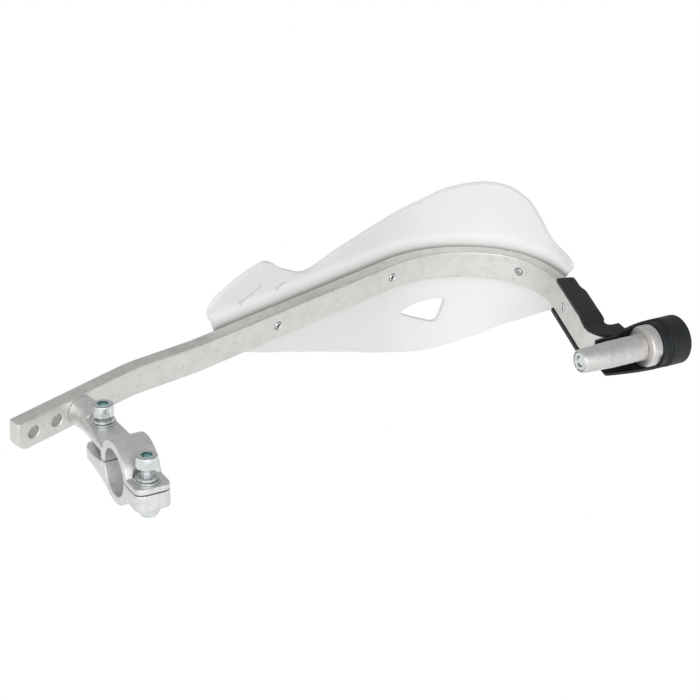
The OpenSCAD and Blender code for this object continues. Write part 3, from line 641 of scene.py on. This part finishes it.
# the cradle's upper rim falls away inboard in steps, and the cup is stepped in beside the collar
coverSettings = {"rim": (10.9, 13.3), "cup": (11.6, 13.4), "steps": 8, "turn": 5.5, "length": 1.88}
coverCuts = [(*coverSettings["rim"], 100, 263, -28, -15), (*coverSettings["cup"], 34, 216, -0.05, 5.5)]
for i in range(coverSettings["steps"]):
    shift, last = coverSettings["length"] * i, 260 - coverSettings["turn"] * i
    coverCuts.append((*coverSettings["rim"], 100, last, -15.05 + shift, -13.12 + shift))
castSettings = {
    "end_cover": {"name": "endCover", "voxel": 0.42, "passes": 3, "slot": "black_plastic", "look": blackLook},
    "clamp_upper": {"name": "clampUpper", "voxel": 0.36, "passes": 5, "slot": "cast_aluminium", "look": castLook},
    "clamp_lower": {"name": "clampLower", "voxel": 0.36, "passes": 5, "slot": "cast_aluminium", "look": castLook},
}
for nodeName, settings in castSettings.items():
    cast = bpy.data.objects.new(settings["name"], nodes[nodeName].data.copy())
    bpy.context.scene.collection.objects.link(cast)
    cast.data.materials.clear()
    editAll(cast)
    bpy.ops.mesh.remove_doubles(threshold=0.000004)
    bpy.ops.object.mode_set(mode="OBJECT")
    for cut in coverCuts if nodeName == "end_cover" else []:
        cutAway(cast, ringSector(*cut))
    useModifier(cast, "REMESH", {"mode": "VOXEL", "voxel_size": settings["voxel"] * mm, "adaptivity": 0})
    useModifier(cast, "SMOOTH", {"factor": 0.5, "iterations": settings["passes"]})
    smoothShade(cast, 50, False)
    finishPiece(cast, settings["name"], [nodeName], [settings["look"]])
print("clamp and cover made")


# screws, washers and nut, each turned about Z with the seat under its head at 0

screwSettings = {
    "shank": 6, "head": 10, "headHeight": 6, "buttonHeight": 2.2, "socket": 5, "socketDepth": 2, "pitch": 1,
    "knurls": 36, "knurlDepth": 0.14,
}


def socketScrew(length, headHeight):
    r, h = screwSettings["shank"] / 2, screwSettings["head"] / 2
    profile = [(0, -length), (r - 0.7, -length), (r - 0.35, -length + 0.4)]
    z = -length + 0.4
    while z < -screwSettings["pitch"] - 0.3:
        profile += [(r, z + 0.5 * screwSettings["pitch"]), (r - 0.4, z + screwSettings["pitch"])]
        z += screwSettings["pitch"]
    capHead = headHeight == screwSettings["headHeight"]
    if capHead:
        profile += [
            (r - 0.1, -0.2), (r, 0), (h - 0.5, 0), (h, 0.4), (h, headHeight - 0.7),
            (h - 0.2, headHeight - 0.25), (h - 0.6, headHeight), (0, headHeight)]
    else:  # button head
        profile += [
            (r, 0), (h - 0.4, 0), (h, 0.3), (h, 0.6), (h - 0.5, 1.3), (h - 1.4, 1.9),
            (h - 2.4, headHeight), (0, headHeight)]
    steps = 2 * screwSettings["knurls"]
    screw = turnProfile(profile, steps)

    def inGroove(vertex):
        column = round(math.atan2(vertex.co.y, vertex.co.x) / (2 * math.pi) * steps)
        return column % 2 == 1 and capHead and math.hypot(vertex.co.x, vertex.co.y) > (h - 0.05) * mm
    editPicked(screw, "VERT", inGroove)
    shrink = 1 - screwSettings["knurlDepth"] / h
    bpy.ops.transform.resize(value=(shrink, shrink, 1), center_override=(0, 0, 0))
    bpy.ops.object.mode_set(mode="OBJECT")
    depth = screwSettings["socketDepth"] * headHeight / screwSettings["headHeight"]
    cutAway(screw, hexRod(screwSettings["socket"], headHeight - depth, headHeight + 1))
    screw.data.materials.append(zincLook)
    screw.data.materials.append(socketLook)
    for face in screw.data.polygons:
        x, y, z = face.center
        nearAxis = math.hypot(x, y) < (screwSettings["socket"] / 2 + 0.1) * mm
        inSocket = nearAxis and z > (headHeight - depth - 0.05) * mm
        onChamfer = capHead and z > (headHeight - 0.3) * mm
        face.material_index = 1 if (inSocket or onChamfer) and z < (headHeight - 0.01) * mm else 0
    smoothShade(screw, 30, False)
    return screw


stackSettings = {
    "frontPlace": (1.5, 35.5), "rearY": -19, "armTop": 7, "flangeTop": 3.05, "flangeLow": -8.25,
    "flat": 1, "spring": 1.6, "frontLoose": 1.2, "rearLoose": 4, "nut": 5.5,
}
frontX, frontY = stackSettings["frontPlace"]
rearY = stackSettings["rearY"]
frontStack = stackSettings["armTop"] + stackSettings["flat"] + stackSettings["spring"]
rearStack = stackSettings["flangeTop"] + stackSettings["flat"] + stackSettings["spring"]
frontSeat = frontStack + stackSettings["frontLoose"]  # the screws are drawn loose, as in the photograph
rearSeat = rearStack + stackSettings["rearLoose"]
flangeLow, nutHeight = stackSettings["flangeLow"], stackSettings["nut"]
capHeight, buttonHeight = screwSettings["headHeight"], screwSettings["buttonHeight"]


def moved(x, y, z):
    return Matrix.Translation((x * mm, y * mm, z * mm))


screwList = [
    ("clampBoltFront", "clamp_bolt_front", frontSeat - flangeLow, capHeight, moved(frontX, frontY, frontSeat)),
    ("clampBoltRear", "clamp_bolt_rear", rearSeat - flangeLow + nutHeight, capHeight, moved(0, rearY, rearSeat)),
    ("bossBolt", "boss_bolt", 20, buttonHeight, barFrame @ outwardAt(0) @ moved(0, 0, half + 1)),
    ("barEndBolt", "bar_end_bolt", 49.5, capHeight, insertFrame @ moved(0, 0, 5)),
]
for name, nodeName, length, headHeight, place in screwList:
    screw = socketScrew(length, headHeight)
    placeBy(screw, place)
    finishPiece(screw, name, [nodeName], [])


def flatWasher(outer, inner, thick):
    return turnProfile([
        (inner, 0.1), (inner + 0.1, 0), (outer - 0.3, 0), (outer, 0.2), (outer, thick - 0.3),
        (outer - 0.25, thick), (inner + 0.1, thick), (inner, thick - 0.1), (inner, 0.1)], 64)


washerList = [
    ("flatWasherFront", "flat_washer_front", 6, 3.2, 1, moved(frontX, frontY, stackSettings["armTop"])),
    ("flatWasherRear", "flat_washer_rear", 6, 3.2, 1, moved(0, rearY, stackSettings["flangeTop"])),
    ("bossWasher", "boss_washer", 6, 3.2, 1, barFrame @ outwardAt(0) @ moved(0, 0, half)),
    ("barEndWasher", "bar_end_washer", 8, 3.2, 1.5, insertFrame @ moved(0, 0, 3.5)),
]
for name, nodeName, outer, inner, thick, place in washerList:
    washer = flatWasher(outer, inner, thick)
    placeBy(washer, place)
    smoothShade(washer, 30, False)
    finishPiece(washer, name, [nodeName], [zincLook])

coilSettings = {"inner": 3.2, "outer": 5.15, "sweep": 352, "lift": 0.28, "gapTurn": 65}
inner, outer = coilSettings["inner"], coilSettings["outer"]
for name, nodeName, place in (
        ("springWasherFront", "spring_washer_front", moved(frontX, frontY, stackSettings["armTop"] + 1)),
        ("springWasherRear", "spring_washer_rear", moved(0, rearY, stackSettings["flangeTop"] + 1))):
    coil = turnProfile([
        (inner, 0.15), (3.35, 0), (5.0, 0), (outer, 0.15), (outer, 1.15), (5.0, 1.3), (3.35, 1.3),
        (inner, 1.15), (inner, 0.15)], 60, coilSettings["sweep"])
    for vertex in coil.data.vertices:  # the free end stands up from the other
        turn = math.atan2(vertex.co.y, vertex.co.x) / (2 * math.pi) % 1
        vertex.co.z += coilSettings["lift"] * mm * turn
    placeBy(coil, place @ Matrix.Rotation(math.radians(coilSettings["gapTurn"]), 4, "Z"))
    editAll(coil)
    bpy.ops.mesh.select_all(action="DESELECT")
    bpy.ops.mesh.select_non_manifold()
    bpy.ops.mesh.edge_face_add()
    bpy.ops.object.mode_set(mode="OBJECT")
    smoothShade(coil, 30, False)
    finishPiece(coil, name, [nodeName], [zincLook])

nut = hexRod(10, 0, nutHeight)
nutForm = turnProfile([
    (0, 0), (3.9, 0), (4.3, 0.5), (4.4, 1.5), (5.0, 1.9), (5.75, 3.2), (5.75, 5.0),
    (5.2, nutHeight), (0, nutHeight)], 64)
cutAway(nut, nutForm, "INTERSECT")
cutAway(nut, turnProfile([(0, -1), (3.0, -1), (3.0, 6), (0, 6)], 40))
placeBy(nut, moved(0, rearY, flangeLow - nutHeight))
smoothShade(nut, 25, False)
finishPiece(nut, "clampNut", ["clamp_nut"], [zincLook])
print("clamp screws made")


# shield screws: low pan heads outside, their hollow tips show on the bar's inner face

panSettings = {"shank": 4, "head": 8, "headHeight": 2.4, "socket": 2.2, "onShield": 2.2, "onCover": 1.85}
for i, s in enumerate(barSettings["screws"]):
    seat = half + (panSettings["onCover"] if i == 3 else panSettings["onShield"])
    r, h, top = panSettings["shank"] / 2, panSettings["head"] / 2, seat + panSettings["headHeight"]
    pan = turnProfile([
        (0, -half + 2.4), (0.9, -half + 2.2), (1.1, -half), (1.25, -half - 0.2),
        (r - 0.45, -half - 0.2), (r - 0.1, -half + 0.2), (r - 0.1, -half + 1.9), (r, -half + 2), (r, seat),
        (h - 0.2, seat), (h, seat + 0.2), (h, seat + 1.1), (h - 0.4, seat + 1.8), (h - 1.3, top), (0, top)], 48)
    cutAway(pan, hexRod(panSettings["socket"], top - 1.4, top + 1))
    placeBy(pan, barFrame @ outwardAt(s))
    smoothShade(pan, 30, False)
    finishPiece(pan, "shieldScrew" + str(i + 1), ["shield_screw_" + str(i + 1)], [zincLook])


# insert: sleeve with two slits on its forward and lower side, cone nut and collar, turned about one axis

insertSettings = {
    "sleeve": 14, "tip": 12.4, "sleeveLength": 39, "straight": 20, "collar": 22, "collarLength": 6.5,
    "boltHole": 3.25, "slit": 1, "slitEnd": 21, "slitTurns": (20, -70),
}
sr, tr, cr = insertSettings["sleeve"] / 2, insertSettings["tip"] / 2, insertSettings["collar"] / 2
near = -insertSettings["collarLength"]
far = near - insertSettings["sleeveLength"]
hole = insertSettings["boltHole"]
slitHalf, slitEnd = insertSettings["slit"] / 2, far + insertSettings["slitEnd"]
sleeve = turnProfile([
    (hole, near), (sr - 0.5, near), (sr, near - 0.5), (sr, near - insertSettings["straight"]),
    (tr + 0.05, far + 1.2), (tr - 0.25, far + 0.4), (tr - 0.7, far), (tr - 1, far),
    (3.65, far + 8.5), (hole, far + 9), (hole, near)], 72)
for turn in insertSettings["slitTurns"]:
    slit = prism([
        (-slitHalf, 0, far - 1), (slitHalf, 0, far - 1), (slitHalf, 0, slitEnd),
        (-slitHalf, 0, slitEnd)], (0, 20, 0))
    placeBy(slit, Matrix.Rotation(math.radians(turn), 4, "Z"))
    cutAway(sleeve, slit)
placeBy(sleeve, insertFrame)
smoothShade(sleeve, 30, False)
finishPiece(sleeve, "expanderSleeve", ["expander_sleeve"], [turnedLook])

cone = turnProfile([
    (3, far + 0.3), (tr - 1.6, far + 0.3), (tr - 1.3, far + 0.6), (tr - 1.2, far + 0.9),
    (3.55, far + 8.1), (3, far + 8.1), (3, far + 0.3)], 64)
placeBy(cone, insertFrame)
smoothShade(cone, 30, False)
finishPiece(cone, "coneNut", ["cone_nut"], [zincLook])

collar = turnProfile([
    (hole, 0), (cr - 1, 0), (cr - 0.4, -0.2), (cr - 0.1, -0.5), (cr, -1), (cr, near + 1.5),
    (cr - 0.15, near + 0.8), (cr - 0.5, near + 0.3), (cr - 1.3, near), (sr + 1.2, near),
    (sr + 0.4, near - 0.01), (hole, near - 0.01), (hole, 0)], 72)
placeBy(collar, insertFrame)
smoothShade(collar, 30, False)
finishPiece(collar, "spacerCollar", ["spacer_collar"], [turnedLook])
print("insert made")


# camera, floor and light

cameraSettings = {"place": (-0.25918, -0.66113, 0.37340), "turn": (65.918, -0.505, -29.070), "lens": 91.29}
cameraData = bpy.data.cameras.new("camera")
cameraData.lens = cameraSettings["lens"]
cameraData.clip_end = 20
camera = bpy.data.objects.new("camera", cameraData)
camera.location = cameraSettings["place"]
camera.rotation_euler = [math.radians(a) for a in cameraSettings["turn"]]
bpy.context.scene.collection.objects.link(camera)
bpy.context.scene.camera = camera

# the floor and the sky are plain white to the camera, and the floor also to the metal's reflections
floorSettings = {"height": -0.075, "size": 8}
clearSelection()
bpy.ops.mesh.primitive_plane_add(size=floorSettings["size"], location=(0, 0, floorSettings["height"]))
floor = bpy.context.object
floor.name = "floor"
floorMaterial = bpy.data.materials.new("studio paper")
floorMaterial.use_nodes = True
floorTree = floorMaterial.node_tree
matte = floorTree.nodes["Principled BSDF"]
matte.inputs["Base Color"].default_value = linearColour("E8E8E8")
matte.inputs["Roughness"].default_value = 0.9
floorRays = addNode(floorTree, "ShaderNodeLightPath")
seen = addNode(floorTree, "ShaderNodeMath", {"operation": "MAXIMUM"},
    links={0: floorRays.outputs["Is Camera Ray"], 1: floorRays.outputs["Is Transmission Ray"]})
seenToo = addNode(floorTree, "ShaderNodeMath", {"operation": "MAXIMUM"},
    links={0: seen.outputs[0], 1: floorRays.outputs["Is Glossy Ray"]})
paper = addNode(floorTree, "ShaderNodeEmission", inputs={"Color": (1, 1, 1, 1), "Strength": 1})
mixFloor = addNode(floorTree, "ShaderNodeMixShader",
    links={0: seenToo.outputs[0], 1: matte.outputs[0], 2: paper.outputs[0]})
floorTree.links.new(mixFloor.outputs[0], floorTree.nodes["Material Output"].inputs["Surface"])
floor.data.materials.append(floorMaterial)

skySettings = {"light": 0.5, "seen": 1}
world = bpy.data.worlds.new("studio")
bpy.context.scene.world = world
world.use_nodes = True
sky = world.node_tree
sky.nodes.clear()
worldRays = addNode(sky, "ShaderNodeLightPath")
seenWorld = addNode(sky, "ShaderNodeMath", {"operation": "MAXIMUM"},
    links={0: worldRays.outputs["Is Camera Ray"], 1: worldRays.outputs["Is Transmission Ray"]})
dim = addNode(sky, "ShaderNodeBackground", inputs={"Color": (1, 1, 1, 1), "Strength": skySettings["light"]})
bright = addNode(sky, "ShaderNodeBackground", inputs={"Color": (1, 1, 1, 1), "Strength": skySettings["seen"]})
mixSky = addNode(sky, "ShaderNodeMixShader",
    links={0: seenWorld.outputs[0], 1: dim.outputs[0], 2: bright.outputs[0]})
addNode(sky, "ShaderNodeOutputWorld", links={"Surface": mixSky.outputs[0]})

lampSettings = [
    {"name": "left softbox", "place": (-1.3, -0.9, 0.6), "aim": (0.12, 0.05, 0), "size": 1.2, "power": 9},
    {"name": "front softbox", "place": (-0.2, -1.7, 0.5), "aim": (0.15, 0.05, 0), "size": 1.4, "power": 14},
]
for lamp in lampSettings:
    data = bpy.data.lights.new(lamp["name"], "AREA")
    data.shape = "SQUARE"
    data.size = lamp["size"]
    data.energy = lamp["power"]
    light = bpy.data.objects.new(lamp["name"], data)
    light.location = lamp["place"]
    light.rotation_euler = (Vector(lamp["aim"]) - Vector(lamp["place"])).to_track_quat("-Z", "Y").to_euler()
    bpy.context.scene.collection.objects.link(light)
bpy.context.scene.view_settings.view_transform = "Standard"
print("camera and lights set")
